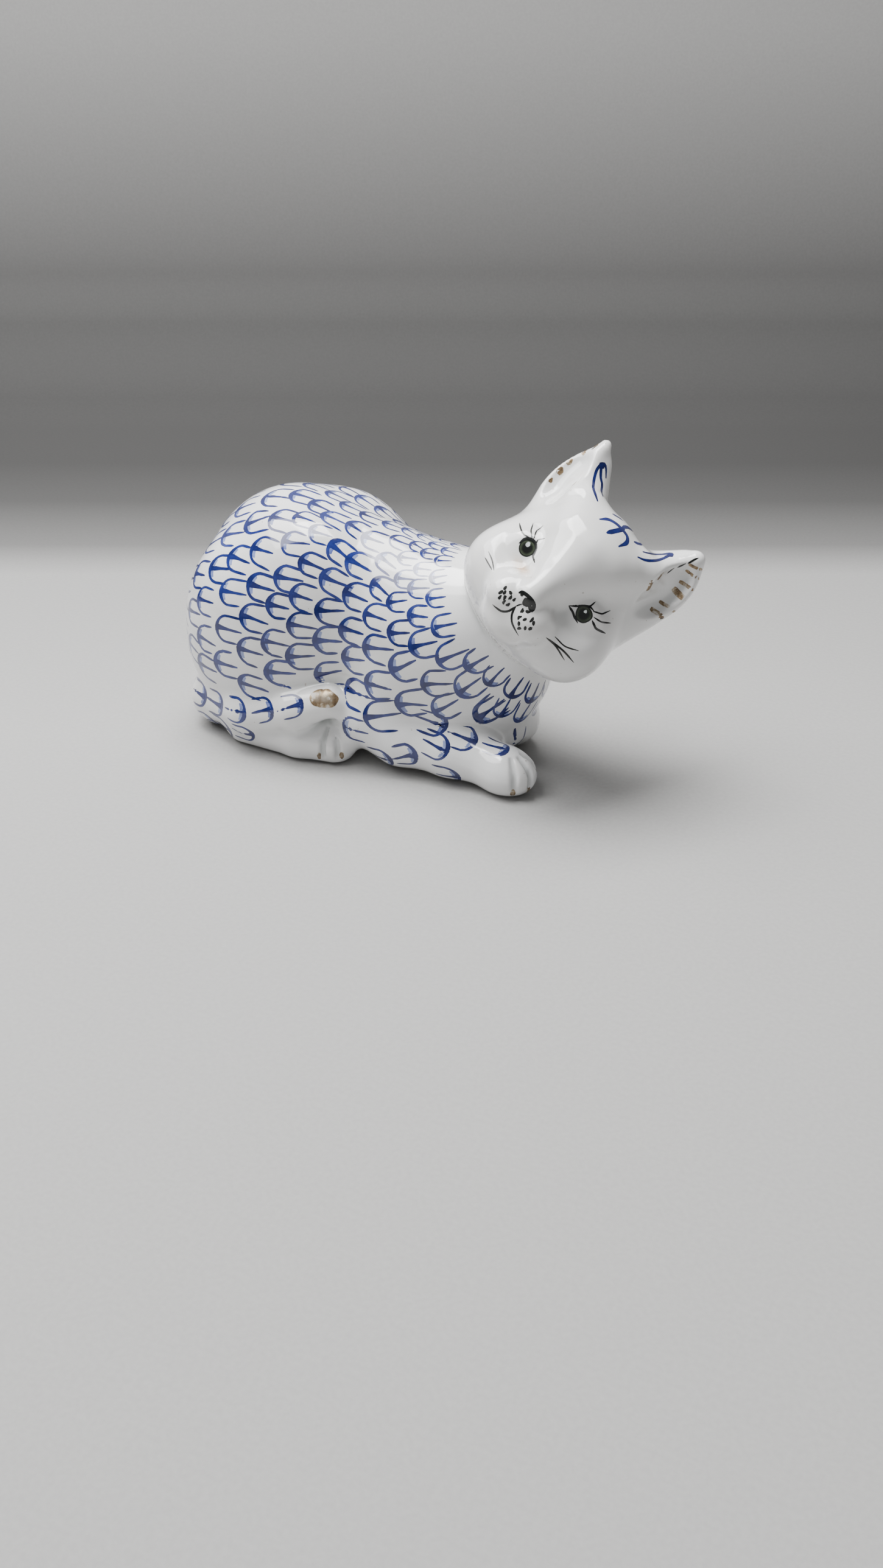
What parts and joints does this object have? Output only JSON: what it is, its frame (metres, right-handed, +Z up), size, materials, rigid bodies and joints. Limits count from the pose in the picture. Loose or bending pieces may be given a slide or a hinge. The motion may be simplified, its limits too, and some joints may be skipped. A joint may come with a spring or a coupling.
{
  "type": "cat figurine",
  "caption": "Hollow glazed porcelain cat figurine lying down with its head turned and tilted, white with hand-painted blue scale strokes.",
  "frame": {"origin": "centre of the bottom of the part's box, on the plane of the flat foot", "axes": "+X along the body towards the head, +Y to the cat's left, +Z up"},
  "size_m": [0.1481, 0.0672, 0.09],
  "materials": {
    "porcelain": "clear gloss glaze over white porcelain with cobalt underglaze strokes",
    "glazed_slip": "gloss glaze over an uneven bead of slip",
    "black_enamel": "gloss overglaze enamel",
    "worn_gold": "thin fired gilding, brown where it has worn"
  },
  "bodies": {
    "root": {"torso": "porcelain", "head": "porcelain", "ear_right": "porcelain", "ear_left": "porcelain", "foreleg_right": "porcelain", "foreleg_left": "porcelain", "hind_foot_right": "porcelain", "hind_foot_left": "porcelain", "tail": "porcelain", "neck_seam_bead": "glazed_slip"}
  },
  "joints": []
}
